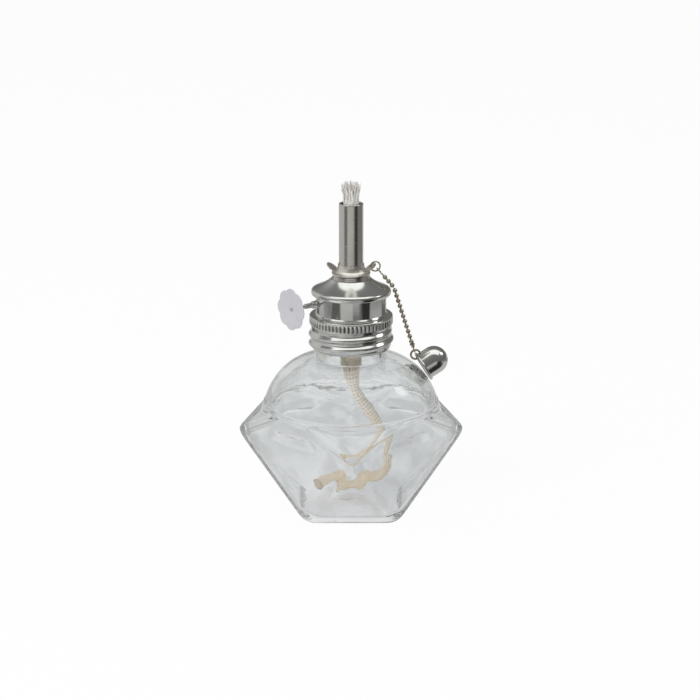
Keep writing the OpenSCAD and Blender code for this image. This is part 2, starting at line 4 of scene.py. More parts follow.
import bpy
import numpy as np
from bpy.props import FloatProperty, FloatVectorProperty, IntProperty, PointerProperty
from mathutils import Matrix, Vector


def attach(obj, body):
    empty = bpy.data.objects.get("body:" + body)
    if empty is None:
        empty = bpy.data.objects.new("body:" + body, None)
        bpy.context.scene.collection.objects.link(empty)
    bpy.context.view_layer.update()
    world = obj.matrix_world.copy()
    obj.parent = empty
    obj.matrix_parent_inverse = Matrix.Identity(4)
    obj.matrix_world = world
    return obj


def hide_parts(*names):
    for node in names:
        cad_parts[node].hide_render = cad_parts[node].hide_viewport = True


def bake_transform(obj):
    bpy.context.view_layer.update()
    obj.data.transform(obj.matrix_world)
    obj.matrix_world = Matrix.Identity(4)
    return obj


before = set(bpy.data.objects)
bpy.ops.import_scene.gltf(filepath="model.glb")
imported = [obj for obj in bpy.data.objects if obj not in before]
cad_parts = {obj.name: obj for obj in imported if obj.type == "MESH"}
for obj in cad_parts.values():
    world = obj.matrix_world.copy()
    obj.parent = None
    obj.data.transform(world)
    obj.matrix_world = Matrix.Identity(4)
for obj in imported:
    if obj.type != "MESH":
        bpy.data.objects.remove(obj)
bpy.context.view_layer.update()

bl_info = {
    "name": "Spirit Lamp",
    "version": (1, 0, 0),
    "blender": (4, 5, 0),
    "location": "View3D > Sidebar > Spirit Lamp",
    "description": "Glass font, burner, wick and snuffer cap of a small spirit lamp",
    "category": "Object",
}

MM = 0.001
TURN = 2 * math.pi

# Font, in millimetres: the same flat faces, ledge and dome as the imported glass
TIP_Z = 32.5
EDGE_ROUND = 5.1
BASE_HALF = 17.4
SHOULDER = math.radians(37.5)
LEDGE_Z = 44.2
LEDGE_R = 33.3
LEDGE_ROUND = 0.8
DOME_RISE = 16.9
DOME_SINK = 2.0
DOME_CORE = 10.5
DOME_TOP = LEDGE_Z + DOME_RISE
FLOOR_T = 4.5
NECK_R = 13.2
NECK_TOP = 76.3
TIP_REACH = 42.4
EDGE_SHARP = 32.0  # power that blends the flat faces of the mould
INNER_SHARP = 25.0  # the same for the inside, which was shaped by air and not by the mould

# Collar
SEAT_Z = 77.5
DECK_Z = 78.0
KNURL_Z = 74.2
SKIRT_Z = 65.0
PITCH = 3.55
THREAD_Z = SKIRT_Z + 0.02
COLLAR_R = 15.0
COLLAR_IN = 14.5
KNURL_R = 15.65
BAND_H = 2.9
BAND_FADE = 0.5

# Threads: first and last turning angle in degrees, rise above the skirt's line, and half width
NECK_THREAD = (180, 580, 0, 1.2)
SKIRT_THREAD = (60, 745, 0, 0.47 * PITCH)
COLLAR_RIDGE = (110, 470, PITCH / 2, 0.85)
RIDGE_H = 0.9

# Drum, roof and socket
DRUM_R = 13.15
RIM_Z = 86.4
ROOF_R = 14.95
ROOF_RISE = 3.9
ROOF_Z = 91.65
SOCKET_R = 7.0
SPIGOT_R = 5.97
SHEET = 0.4

# Guide, tube and wick
GUIDE_Z = 57.0
GUIDE_R = 4.0
MOUTH_Z = 120.15
WICK_TOP = 128.55
WICK_D = 6.2
GOLDEN = 0.381966  # part of a turn between two strands of the frayed top

# Thumbwheel
WHEEL_HEADING = math.radians(219)
WHEEL_OFF = 6.0988
WHEEL_AT = 22.85
WHEEL_Z = 82.2
THUMB_R = 7.9
THUMB_T = 0.6
LOBES = 8

# Chain, as distance from the axis and height in its own plane
CHAIN_HEADING = math.radians(10)
EAR_RING_AT = np.array([9.1927, 95.6603])
BEND = np.array([16.3, 87.2])
CAP_RING_AT = np.array([24.8264, 60.5058])
BEAD_D = 1.8
BEAD_STEP = 2.12
UPPER_BEADS = 3
LOWER_BEADS = 11

# Camera, solved from points of the photograph: degrees, metres and pixels
VIEW_TURN = -0.35
VIEW_TILT = 16.5
VIEW_AWAY = 0.797
VIEW_HEIGHT = 0.066
VIEW_DOWN, VIEW_LEFT = 0.00233, 0.00041
FOCAL_PIXELS = 2118
PICTURE_PIXELS = 700
SENSOR = 36.0  # millimetres

# Route of the wick's free end, from the guide down and round on the floor
TAIL_ROUTE = [[0, 0, 0], [0.4, 0, -4], [1.6, 0, -8.4], [4, 0, -12.8], [7, 0, -17], [10.4, 0.4, -23.4],
              [12.4, 1.2, -30], [13, 2.6, -35.6], [12.8, 4.6, -40.2], [11.6, 7, -44], [9.2, 9.4, -46.8],
              [5.4, 11.4, -48.4], [0.8, 12.4, -49], [-4, 12, -49], [-8.4, 9.8, -49], [-11.4, 6, -49]]


# ---------------------------------------------------------------- settings

class LampSizes(bpy.types.PropertyGroup):
    """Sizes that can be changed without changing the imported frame."""
    glass_wall: FloatProperty(name="Glass wall", description="Thickness of the font's wall", default=0.0024,
                              min=0.002, max=0.0034, subtype="DISTANCE", unit="LENGTH")
    edge_sharp: FloatProperty(name="Edge sharpness", description="Power that blends the font's flat faces",
                              default=EDGE_SHARP, min=20.0, max=60.0)
    flutes: IntProperty(name="Flutes", description="Number of grooves round the collar",
                        default=62, min=40, max=80)
    flute_depth: FloatProperty(name="Flute depth", description="Depth of a groove of the collar",
                               default=0.0004, min=0.0001, max=0.0006, subtype="DISTANCE", unit="LENGTH")
    yarns: IntProperty(name="Yarns", description="Number of loose yarns in the wick's top",
                       default=70, min=30, max=120)
    fibres: IntProperty(name="Fibres", description="Number of stray fibres in the wick's top",
                        default=220, min=0, max=400)


def tint(name, description, default):
    """A colour in the settings."""
    return FloatVectorProperty(name=name, description=description, subtype="COLOR", default=default)


class LampColours(bpy.types.PropertyGroup):
    """Colours of the finishes."""
    glass: tint("Glass", "Tint of the clear glass", (0.972, 0.984, 0.982))
    nickel: tint("Nickel", "Bright plated metal", (0.74, 0.735, 0.72))
    satin: tint("Satin nickel", "Tube and socket", (0.66, 0.635, 0.60))
    # painted light: the foot is the tube's satin nickel in a lighter copy, for the brighter light on its
    # flare
    foot: tint("Foot nickel", "Flared foot of the tube", (0.85, 0.80, 0.75))
    stamped: tint("Stamped plate", "Dull plate of the thumbwheel", (0.64, 0.64, 0.675))
    brass: tint("Brass", "Raw brass inside the burner", (0.74, 0.66, 0.53))
    chain: tint("Chain", "Worn plate of the ball chain", (0.62, 0.58, 0.52))
    cotton: tint("Cotton", "Clean cotton of the wick", (0.76, 0.75, 0.72))
    gasket: tint("Gasket", "Dark rubber of the neck's gasket", (0.05, 0.047, 0.045))


# ---------------------------------------------------------------- materials

class Wire:
    """A node's output, on which arithmetic adds Math nodes."""

    def __init__(self, finish, socket):
        self.finish, self.socket = finish, socket

    def _math(self, operation, *values):
        return self.finish.node("Math", {"operation": operation}, dict(enumerate(values)))

    def __add__(self, other):
        return self._math("ADD", self, other)

    def __radd__(self, other):
        return self._math("ADD", other, self)

    def __sub__(self, other):
        return self._math("SUBTRACT", self, other)

    def __rsub__(self, other):
        return self._math("SUBTRACT", other, self)

    def __mul__(self, other):
        return self._math("MULTIPLY", self, other)

    def __truediv__(self, other):
        return self._math("DIVIDE", self, other)

    def power(self, exponent):
        return self._math("POWER", self, exponent)

    def sine(self):
        return self._math("SINE", self)

    def cosine(self):
        return self._math("COSINE", self)

    def turn(self, other):
        """Angle whose tangent is this value over the other one, in radians."""
        return self._math("ARCTAN2", self, other)

    def size(self):
        return self._math("ABSOLUTE", self)

    def between(self, low, high):
        """0 below low, 1 above high and a smooth step between them."""
        return self.finish.node("MapRange", {"interpolation_type": "SMOOTHSTEP"},
                                {"Value": self, "From Min": low, "From Max": high})


class Finish:
    """The node tree of one material or of the world."""

    def __init__(self, tree):
        self.tree = tree
        tree.nodes.clear()

    def node(self, kind, settings=None, values=None, output=0):
        """Adds a node: settings first, then a value or a link for each socket, by name or number."""
        made = self.tree.nodes.new("ShaderNode" + kind)
        for key, value in (settings or {}).items():
            if key == "stops":
                ramp = made.color_ramp
                while len(ramp.elements) < len(value):
                    ramp.elements.new(1.0)
                for stop, (place, colour) in zip(ramp.elements, value):
                    stop.position, stop.color = place, (*colour, 1.0)
            else:
                setattr(made, key, value)
        for key, value in (values or {}).items():
            if isinstance(value, Wire):
                self.tree.links.new(value.socket, made.inputs[key])
            elif made.inputs[key].type == "RGBA" and len(value) == 3:
                made.inputs[key].default_value = (*value, 1.0)
            else:
                made.inputs[key].default_value = value
        return Wire(self, made.outputs[output])

    def point(self):
        return self.node("TexCoord", output="Object")

    def axes(self, vector):
        """The three parts of a vector as numbers."""
        parts = self.node("SeparateXYZ", values={"Vector": vector})
        return [Wire(self, parts.socket.node.outputs[k]) for k in range(3)]

    def noise(self, scale, detail=4.0, roughness=0.5, vector=None):
        return self.node("TexNoise", values={"Vector": vector or self.point(), "Scale": scale,
                                             "Detail": detail, "Roughness": roughness})

    def stretched(self, scale):
        """The object's point with each axis scaled by its own factor."""
        return self.node("Mapping", values={"Vector": self.point(), "Scale": scale})

    def mix(self, factor, a, b):
        """Colour a turned into colour b by a factor."""
        made = self.node("Mix", {"data_type": "RGBA"}, {"Factor": factor}, output=2)
        inputs = made.socket.node.inputs
        for slot, colour in ((6, a), (7, b)):
            if isinstance(colour, Wire):
                self.tree.links.new(colour.socket, inputs[slot])
            else:
                inputs[slot].default_value = (*colour, 1.0)
        return made

    def bump(self, height, distance, strength):
        return self.node("Bump", values={"Height": height, "Distance": distance, "Strength": strength})

    def surface(self, values):
        self.output(self.node("BsdfPrincipled", values=values))

    def emission(self, colour, strength, kind="Emission"):
        return self.node(kind, values={"Color": colour, "Strength": strength})

    def by_ray(self, lit, camera, glossy, refracted):
        """A shader for each kind of ray. A refracted ray counts as a glossy one too, so it is chosen last."""
        path = self.node("LightPath").socket.node
        shader = lit
        for ray, other in (("Camera", camera), ("Glossy", glossy), ("Transmission", refracted)):
            chosen = Wire(self, path.outputs[f"Is {ray} Ray"])
            shader = self.node("MixShader", values={0: chosen, 1: shader, 2: other})
        return shader

    def output(self, shader, kind="OutputMaterial"):
        made = self.tree.nodes.new("ShaderNode" + kind)
        self.tree.links.new(shader.socket, made.inputs["Surface"])


def new_finish(name):
    """A named material with an empty tree to build in."""
    material = bpy.data.materials.new(name)
    material.use_nodes = True
    return material, Finish(material.node_tree)


def glass_finish(colour):
    """Clear pressed glass: slight tint and long shallow waves of the mould."""
    material, f = new_finish("clear_glass")
    waves = f.noise(45.0, 2.0) * 0.7 + f.noise(160.0, 2.0) * 0.18
    f.surface({"Base Color": colour, "Roughness": 0.0, "IOR": 1.5, "Transmission Weight": 1.0,
               "Normal": f.bump(waves, 0.0012, 0.3)})
    return material


def flute_dirt_and_painted_shade(f):
    """Painted shade and dirt in the valleys of the collar's fluted band, 0 to 1."""
    x, y, z = f.axes(f.point())
    valley = (y.turn(x) * bpy.context.scene.lamp_sizes.flutes).cosine().between(0.1, 0.9)
    above = z.between(KNURL_Z * MM, (KNURL_Z + BAND_FADE) * MM)
    over = z.between((KNURL_Z + 2.3) * MM, (KNURL_Z + BAND_H) * MM)
    return valley * above * (1 - over)


def nickel_finish(name, colour, rough, streaks, spots, shade=None):
    """Plated metal: cloudy polish, rubbed streaks, a few dull spots and, where given, a darkening of painted
    shade and dirt.
    """
    material, f = new_finish(name)
    cloud = f.noise(120.0, 5.0, 0.6)
    rubbed = f.noise(60.0, 4.0, 0.6, f.stretched(streaks))
    spot = f.noise(900.0, 3.0).between(0.62, 0.72) * spots
    dull = tuple(c * 0.78 for c in colour)
    base = f.mix(cloud.between(0.35, 0.8) * 0.35 + spot * 0.5, colour, dull)
    # painted shade and dirt: the given mask darkens the base colour
    if shade:
        base = f.mix(shade(f) * 0.85, base, tuple(c * 0.2 for c in colour))
    roughness = rough + cloud * rough * 0.5 + rubbed * rough * 0.5 + spot * 0.2
    height = rubbed * 0.25 + f.noise(35.0, 2.0) * 2.0
    f.surface({"Base Color": base, "Metallic": 1.0, "Roughness": roughness,
               "Normal": f.bump(height, 0.00006, 0.35)})
    return material


def stamped_finish(name, colour):
    """Dull stamped plate, which scatters most of its light."""
    material, f = new_finish(name)
    cloud = f.noise(260.0, 4.0, 0.6)
    f.surface({"Base Color": f.mix(cloud.between(0.35, 0.75) * 0.3, colour, tuple(c * 0.85 for c in colour)),
               "Metallic": 0.3, "Roughness": 0.3 + cloud * 0.15, "Normal": f.bump(cloud, 0.00004, 0.4)})
    return material


def brass_finish(name, colour, plate, worn):
    """Brass whose plate has worn through in patches."""
    material, f = new_finish(name)
    patch = f.noise(420.0, 5.0, 0.65).between(0.5 - worn / 2, 0.62)
    dark = f.noise(1500.0, 3.0).between(0.5, 0.8)
    base = f.mix(dark * 0.45, f.mix(patch, plate, colour), tuple(c * 0.35 for c in colour))
    f.surface({"Base Color": base, "Metallic": 1.0, "Roughness": 0.22 + patch * 0.14 + dark * 0.2,
               "Normal": f.bump(f.noise(1800.0, 3.0), 0.00003, 0.4)})
    return material


def cotton_finish(name, colour, stain):
    """Cotton: painted shade between the yarns from the piece's own UV, with a stain that deepens towards the
    wet end.
    """
    material, f = new_finish(name)
    u, v, _ = f.axes(f.node("TexCoord", output="UV"))
    lay = ((u * 8.0 + v * 30.0) * TURN).sine() * ((u * 8.0 - v * 30.0) * TURN).sine()
    fuzz = f.noise(2500.0, 4.0, 0.7)
    blotch = f.noise(150.0, 4.0, 0.6).between(0.42, 0.68)
    base = f.mix(blotch * 0.35 + v.between(0.25, 0.7) * 0.6, colour, stain)
    # painted shade: where the braid's pattern sinks, between the yarns, the colour is darkened
    base = f.mix(lay.between(-0.9, 0.2), tuple(c * 0.8 for c in stain), base)
    f.surface({"Base Color": base, "Roughness": 0.92, "Sheen Weight": 0.35, "Sheen Roughness": 0.5,
               "Normal": f.bump(lay * 0.6 + fuzz * 0.4, 0.00025, 0.7)})
    return material


def fibre_finish(name, colour):
    """Loose cotton yarn: off-white, slightly different from strand to strand."""
    material, f = new_finish(name)
    fuzz = f.noise(1400.0, 4.0, 0.7)
    shade = f.noise(600.0, 3.0).between(0.3, 0.7)
    base = f.mix(shade * 0.6, colour, tuple(c * k for c, k in zip(colour, (0.80, 0.77, 0.72))))
    f.surface({"Base Color": base, "Roughness": 0.95, "Sheen Weight": 0.3,
               "Normal": f.bump(fuzz, 0.00015, 0.8)})
    return material


def rubber_finish(name, colour):
    """Dull rubber with a fine grain."""
    material, f = new_finish(name)
    grain = f.noise(1600.0, 3.0)
    f.surface({"Base Color": f.mix(grain * 0.5, colour, tuple(c * 2.2 for c in colour)), "Roughness": 0.7,
               "Normal": f.bump(grain, 0.00005, 0.6)})
    return material


FINISHES = {}


def finish(name):
    """Makes each finish once, from the colours in the settings."""
    if name not in FINISHES:
        c = bpy.context.scene.lamp_colours
        makers = {
            "glass": lambda: glass_finish(tuple(c.glass)),
            "nickel": lambda: nickel_finish("bright_nickel", tuple(c.nickel), 0.07, (1, 1, 14), 0.3),
            "roof": lambda: nickel_finish("roof_nickel", tuple(c.nickel), 0.11, (1, 1, 14), 0.5),
            # the collar's finish darkens the valleys of its flutes with painted shade and dirt
            "collar": lambda: nickel_finish("collar_nickel", tuple(c.nickel), 0.1, (1, 1, 10), 0.3,
                                            flute_dirt_and_painted_shade),
            "stamped": lambda: stamped_finish("stamped_nickel", tuple(c.stamped)),
            "satin": lambda: nickel_finish("satin_nickel", tuple(c.satin), 0.16, (1, 1, 0.05), 0.6),
            # painted light: a lighter copy of the satin nickel for the flared foot
            "foot": lambda: nickel_finish("foot_nickel", tuple(c.foot), 0.24, (1, 1, 0.05), 0.6),
            "wire": lambda: nickel_finish("wire_nickel", tuple(c.nickel), 0.12, (8, 8, 1), 0.5),
            "brass": lambda: brass_finish("raw_brass", tuple(c.brass), tuple(c.brass), 0.2),
            "chain": lambda: brass_finish("chain_metal_worn", (0.62, 0.53, 0.38), tuple(c.chain), 0.3),
            "cotton": lambda: cotton_finish("woven_cotton", (0.74, 0.71, 0.67), (0.64, 0.54, 0.38)),
            "fibre": lambda: fibre_finish("loose_cotton", tuple(c.cotton)),
            "gasket": lambda: rubber_finish("gasket_rubber", tuple(c.gasket)),
        }
        FINISHES[name] = makers[name]()
    return FINISHES[name]


# ---------------------------------------------------------------- surfaces

def smooth_piece(name, points, faces, material, body):
    """A smooth object at the origin from points in millimetres, with its finish and its body."""
    mesh = bpy.data.meshes.new(name)
    mesh.from_pydata((points * MM).tolist(), [], faces)
    mesh.update()
    mesh.polygons.foreach_set("use_smooth", np.ones(len(faces), bool))
    mesh.materials.append(material)
    obj = bpy.data.objects.new(name, mesh)
    bpy.context.scene.collection.objects.link(obj)
    if body:
        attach(obj, body)
    return obj


def surface_piece(name, rows, material, body, closed_rows=False, capped=False, uv=True):
    """A mesh from rows of points in millimetres, an array (rows, ring, 3), joined into four-sided faces.

    Faces point outwards where each ring runs anticlockwise seen from the side that the rows go towards.
    closed_rows joins the last row to the first, and capped closes the end rings with a middle point."""
    rows = np.asarray(rows, float)
    m, n = rows.shape[:2]
    points = rows.reshape(-1, 3)
    here = np.arange(m if closed_rows else m - 1)[:, None] * n
    after = (here + n) % (m * n)
    ring = np.arange(n)
    beside = (ring + 1) % n
    faces = np.stack([here + ring, here + beside, after + beside, after + ring], 2).reshape(-1, 4).tolist()
    for row in (0, m - 1) if capped else ():
        points = np.vstack([points, rows[row].mean(0)])
        pair = (ring, beside) if row else (beside, ring)
        faces += np.stack([row * n + pair[0], row * n + pair[1], np.full(n, len(points) - 1)], 1).tolist()
    obj = smooth_piece(name, points, faces, material, body)
    if uv:
        mesh = obj.data
        across = np.tile(np.arange(n) / n, m)
        along = np.repeat(np.arange(m) / max(m - 1, 1), n)
        across, along = (np.append(k, np.full(len(points) - m * n, 0.5)) for k in (across, along))
        loops = np.zeros(len(mesh.loops), np.int32)
        mesh.loops.foreach_get("vertex_index", loops)
        layer = mesh.uv_layers.new(name="UVMap")
        layer.data.foreach_set("uv", np.stack([across[loops], along[loops]], 1).ravel())
    return obj


def ring_points(radius, height, angles):
    """Points at a distance from the axis, given for every row and angle, and a height for every row."""
    radius = np.broadcast_to(radius, (len(np.atleast_1d(height)), len(angles)))
    z = np.broadcast_to(np.atleast_1d(height)[:, None], radius.shape)
    return np.stack([radius * np.cos(angles), radius * np.sin(angles), z], 2)


def turned(profile, count):
    """Rows of a turned shape: each point (distance, height) of the profile is carried round the axis."""
    profile = np.asarray(profile, float)
    angles = np.arange(count) * TURN / count
    return ring_points(np.repeat(profile[:, :1], count, 1), profile[:, 1], angles)


def arc(centre, radius, start, stop, count):
    """Points of a circle's arc from one angle to another, in degrees."""
    t = np.radians(np.linspace(start, stop, count))
    return np.stack([centre[0] + radius * np.cos(t), centre[1] + radius * np.sin(t)], 1)


def smooth_path(points, count):
    """Catmull-Rom curve through the points, sampled at equal steps of length."""
    p = np.asarray(points, float)
    p = np.vstack([2 * p[0] - p[1], p, 2 * p[-1] - p[-2]])
    t = np.linspace(0, len(p) - 3, 40 * len(p))
    k = np.minimum(t.astype(int), len(p) - 4)
    f = (t - k)[:, None]
    a, b, c, d = p[k], p[k + 1], p[k + 2], p[k + 3]
    q = 0.5 * (2 * b + (c - a) * f + (2 * a - 5 * b + 4 * c - d) * f ** 2 + (3 * b - a - 3 * c + d) * f ** 3)
    run = np.append(0, np.cumsum(np.linalg.norm(np.diff(q, axis=0), axis=1)))
    want = np.linspace(0, run[-1], count)
    return np.stack([np.interp(want, run, q[:, i]) for i in range(3)], 1)


def rings(middle, radius, angles, u, v):
    """Points round a middle at a radius and at each angle, in the plane of two unit vectors."""
    return middle + radius[..., None] * (np.cos(angles)[:, None] * u + np.sin(angles)[:, None] * v)


def frames(path, side):
    """Unit vectors across a path: u is square to the path and to a fixed direction, v to both."""
    d = np.gradient(path, axis=-2)
    d /= np.linalg.norm(d, axis=-1, keepdims=True)
    u = np.cross(d, np.asarray(side, float))
    u /= np.linalg.norm(u, axis=-1, keepdims=True)
    return u[..., None, :], np.cross(d, u)[..., None, :]


def tube_rows(path, radius, sides, side=(0.2, 1.0, 0.3)):
    """Rings round a path, in the planes across it, whose radius may differ at every point."""
    radius = np.broadcast_to(radius, (len(path), sides))
    return rings(path[:, None], radius, np.arange(sides) * TURN / sides, *frames(path, side))


# ---------------------------------------------------------------- font

def face_distance(a, z, inset, floor_z, sharp):
    """Distance from the axis of the font's twelve flat faces at angle a and height z.

    Each face alone gives its distance along its own direction divided by the cosine of the angle to it. The
    smallest one is blended with its neighbours as the p-norm of the inverses, which rounds the moulded edges.
    Near the floor a face is drawn in along a quarter circle that rounds the base."""
    # where four equal faces meet, the blend falls short of their corner by this power of four
    tip = TIP_REACH * 4 ** (1 / EDGE_SHARP)
    side_n = np.array([2, (tip - 2 * BASE_HALF) / TIP_Z * math.sqrt(2)])
    side_n /= np.linalg.norm(side_n)
    low_n = np.array([1, (tip - BASE_HALF) / TIP_Z])
    low_n /= np.linalg.norm(low_n)
    r = max(EDGE_ROUND - inset, 1.5)

    def drawn_in(normal):
        h = r * (1 - normal[1])
        t = np.clip(1 - (z - floor_z) / h, 0, 1)
        return h / normal[0] * (1 - np.sqrt(1 - t * t))

    side = (2 * BASE_HALF + (tip - 2 * BASE_HALF) * z / TIP_Z) / math.sqrt(2)
    side = side - inset / side_n[0] - drawn_in(side_n)
    low = BASE_HALF + (tip - BASE_HALF) * z / TIP_Z - inset / low_n[0] - drawn_in(low_n)
    high = tip - (z - TIP_Z) / math.tan(SHOULDER) - inset / math.sin(SHOULDER)
    total = 0
    for k in range(4):
        total = total + (np.maximum(0, np.cos(a - TURN / 8 - TURN / 4 * k)) / side) ** sharp
        total = total + np.maximum(0, np.cos(a - TURN / 4 * k)) ** sharp * (low ** -sharp + high ** -sharp)
    return total ** (-1 / sharp)


def dome_distance(z, inset):
    """Distance of the dome's surface: a superellipse of the height above its foot."""
    core = DOME_CORE - inset / 2
    t = np.clip((z - LEDGE_Z + DOME_SINK) / (DOME_RISE + DOME_SINK - inset), 0, 1)
    return core + (LEDGE_R - 0.15 - inset - core) * np.maximum(0, 1 - t ** 1.42) ** (1 / 2.55)


def thread_bump(a, z, first, last, up, half, fade=70.0):
    """Height of a round thread, 0 to 1: a raised cosine across the nearest turn of a line that climbs with
    the angle, faded in and out at its ends."""
    best = 0
    for k in range(3):
        turn = np.degrees(a) + 360 * k
        d = np.abs(z - (THREAD_Z + PITCH * turn / 360) - up)
        ease = np.clip(np.minimum((turn - first) / fade, (last - turn) / fade), 0, 1)
        bump = (1 + np.cos(math.pi * np.minimum(d / half, 1))) / 2
        best = np.maximum(best, ease * np.where(d < half, bump, 0))
    return best


def soft_max(a, b, power):
    """The larger of two lengths, with a rounded crease where they are equal."""
    return (a ** power + b ** power) ** (1 / power)


def font_rows(wall, sharp):
    """Outside of the glass from the middle of its base up to the mouth, then its inside down to the floor."""
    count = 320
    a = (np.arange(count) * TURN / count)[None, :]
    foot = face_distance(a, np.array([[0.0]]), 0, 0, sharp)
    share = np.array([0.12, 0.3, 0.5, 0.68, 0.8, 0.9, 0.97, 1.0])[:, None]
    under = ring_points(foot * share, np.array([0.9, 0.8, 0.55, 0.25, 0.08, 0.0, 0.0, 0.0]), a[0])
    z1 = np.concatenate([0.18 * np.arange(1, 22) ** 1.1, np.linspace(5.4, TIP_Z, 40)])[:, None]
    faces = ring_points(face_distance(a, z1, 0, 0, sharp), z1[:, 0], a[0])
    z2 = np.linspace(TIP_Z + 0.5, LEDGE_Z - LEDGE_ROUND, 26)[:, None]
    over_r = soft_max(face_distance(a, z2, 0, 0, sharp), np.full((1, 1), LEDGE_R), 90)
    over = ring_points(over_r, z2[:, 0], a[0])
    t = np.radians(np.linspace(15, 90, 6))
    lip_r = LEDGE_R - LEDGE_ROUND * (1 - np.cos(t))
    lip = ring_points(np.maximum(np.repeat(lip_r[:, None], count, 1), 0),
                      LEDGE_Z - LEDGE_ROUND * (1 - np.sin(t)), a[0])
    z3 = LEDGE_Z + 0.12 + (DOME_TOP - 0.04 - LEDGE_Z - 0.12) * np.sin(np.linspace(0, math.pi / 2, 46))
    dome_r = soft_max(dome_distance(z3, 0), np.full_like(z3, NECK_R), 60)
    dome = ring_points(np.repeat(dome_r[:, None], count, 1), z3, a[0])
    z4 = np.linspace(DOME_TOP + 0.3, NECK_TOP - 0.5, 40)[:, None]
    neck = ring_points(NECK_R + RIDGE_H * thread_bump(a, z4, *NECK_THREAD), z4[:, 0], a[0])
    mouth = turned(np.vstack([arc((NECK_R - 0.5, NECK_TOP - 0.5), 0.5, 15, 90, 5),
                              arc((NECK_R - wall + 0.5, NECK_TOP - 0.5), 0.5, 90, 180, 6)]), count)
    bore = np.linspace(NECK_TOP - 1.5, DOME_TOP - wall + 0.4, 12)
    inner_neck = ring_points(np.full((12, count), NECK_R - wall), bore, a[0])
    z5 = LEDGE_Z - 2 + (DOME_TOP - wall - 0.04 - LEDGE_Z + 2) * np.sin(np.linspace(math.pi / 2, 0, 44))
    inner_r = soft_max(dome_distance(z5, wall), np.full_like(z5, NECK_R - wall), 60)
    inner_dome = ring_points(np.repeat(inner_r[:, None], count, 1), z5, a[0])
    z6 = np.linspace(LEDGE_Z - 2.4, FLOOR_T + 3, 46)[:, None]
    inner = face_distance(a, z6, wall, FLOOR_T, INNER_SHARP)
    reach = np.where(z6 > TIP_Z + 4, dome_distance(z6, wall) - 0.4, 1.0)
    inner_faces = ring_points(soft_max(inner, np.broadcast_to(reach, inner.shape), 60), z6[:, 0], a[0])
    z7 = FLOOR_T + np.array([2.4, 1.8, 1.3, 0.9, 0.55, 0.3, 0.12, 0.02])[:, None]
    foot_in = face_distance(a, z7, wall, FLOOR_T, INNER_SHARP)
    low = ring_points(foot_in, z7[:, 0], a[0])
    floor = ring_points(foot_in[-1:] * np.array([0.96, 0.85, 0.6, 0.35, 0.12])[:, None],
                        FLOOR_T + np.array([0.0, 0.02, 0.1, 0.16, 0.2]), a[0])
    return np.concatenate([under, faces, over, lip, dome, neck, mouth,
                           inner_neck, inner_dome, inner_faces, low, floor])


class LAMP_OT_glass(bpy.types.Operator):
    """Make the faceted glass font with its ledge, dome and neck"""
    bl_idname = "spirit_lamp.glass"
    bl_label = "Glass font"

    def execute(self, context):
        sizes = context.scene.lamp_sizes
        rows = font_rows(sizes.glass_wall / MM, sizes.edge_sharp)
        glass = surface_piece("font_glass", rows, finish("glass"), "font", capped=True,
                              uv=False)
        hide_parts("glass_font")
        glass.visible_shadow = glass.visible_diffuse = False
        return {"FINISHED"}


# ---------------------------------------------------------------- collar

class LAMP_OT_collar(bpy.types.Operator):
    """Make the screw collar with its rolled thread and its fluted band"""
    bl_idname = "spirit_lamp.collar"
    bl_label = "Screw collar"

    def execute(self, context):
        sizes = context.scene.lamp_sizes
        count = sizes.flutes * 10
        a = (np.arange(count) * TURN / count)[None, :]
        z1 = np.append([SKIRT_Z, SKIRT_Z + 0.06], np.linspace(SKIRT_Z + 0.2, KNURL_Z - 0.15, 56))[:, None]
        skirt = np.minimum(COLLAR_R, COLLAR_R - 0.45 + 0.45 * (z1 - SKIRT_Z) / 1.2)
        skirt = skirt + thread_bump(a, z1, *SKIRT_THREAD) - np.where(z1 <= SKIRT_Z, 0.12, 0)
        outer = ring_points(skirt, z1[:, 0], a[0])
        # flutes: valleys of a smoothed cosine that fade out at both edges of the band
        z2 = np.array([0.0, 0.12, 0.3, 0.5, 0.8, 1.2, 1.7, 2.2, 2.5, 2.7, 2.85, 3.0])[:, None] + KNURL_Z
        into = np.clip(np.minimum(z2 - KNURL_Z, KNURL_Z + BAND_H - z2) / BAND_FADE, 0, 1)
        groove = (0.5 + 0.5 * np.cos(a * sizes.flutes)) ** 1.3 * into ** 0.6
        edge = np.clip((z2 - KNURL_Z) / 0.3, 0, 1) ** 0.5 * 0.55 - 0.55
        knurl = ring_points(KNURL_R + edge - sizes.flute_depth / MM * groove, z2[:, 0], a[0])
        top = turned(np.vstack([arc((KNURL_R - 0.45, DECK_Z - 0.75), 0.45, 5, 80, 7),
                                [[13.9, DECK_Z - 0.02], [13.5, DECK_Z], [9.0, DECK_Z],
                                 [GUIDE_R + 0.05, DECK_Z], [GUIDE_R + 0.05, SEAT_Z], [9.0, SEAT_Z],
                                 [COLLAR_IN - 0.3, SEAT_Z], [COLLAR_IN, SEAT_Z - 0.3]]]), count)
        z3 = np.linspace(SEAT_Z - 0.6, SKIRT_Z + 0.1, 50)[:, None]
        wall = np.where(z3 < SKIRT_Z + 1, COLLAR_IN - 0.1, COLLAR_IN)
        inner = ring_points(wall - RIDGE_H * thread_bump(a, z3, *COLLAR_RIDGE), z3[:, 0], a[0])
        collar = surface_piece("collar_shell", np.concatenate([outer, knurl, top, inner]), finish("collar"),
                               "burner", closed_rows=True)
        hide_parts("screw_collar")
        return {"FINISHED"}


# ---------------------------------------------------------------- roof

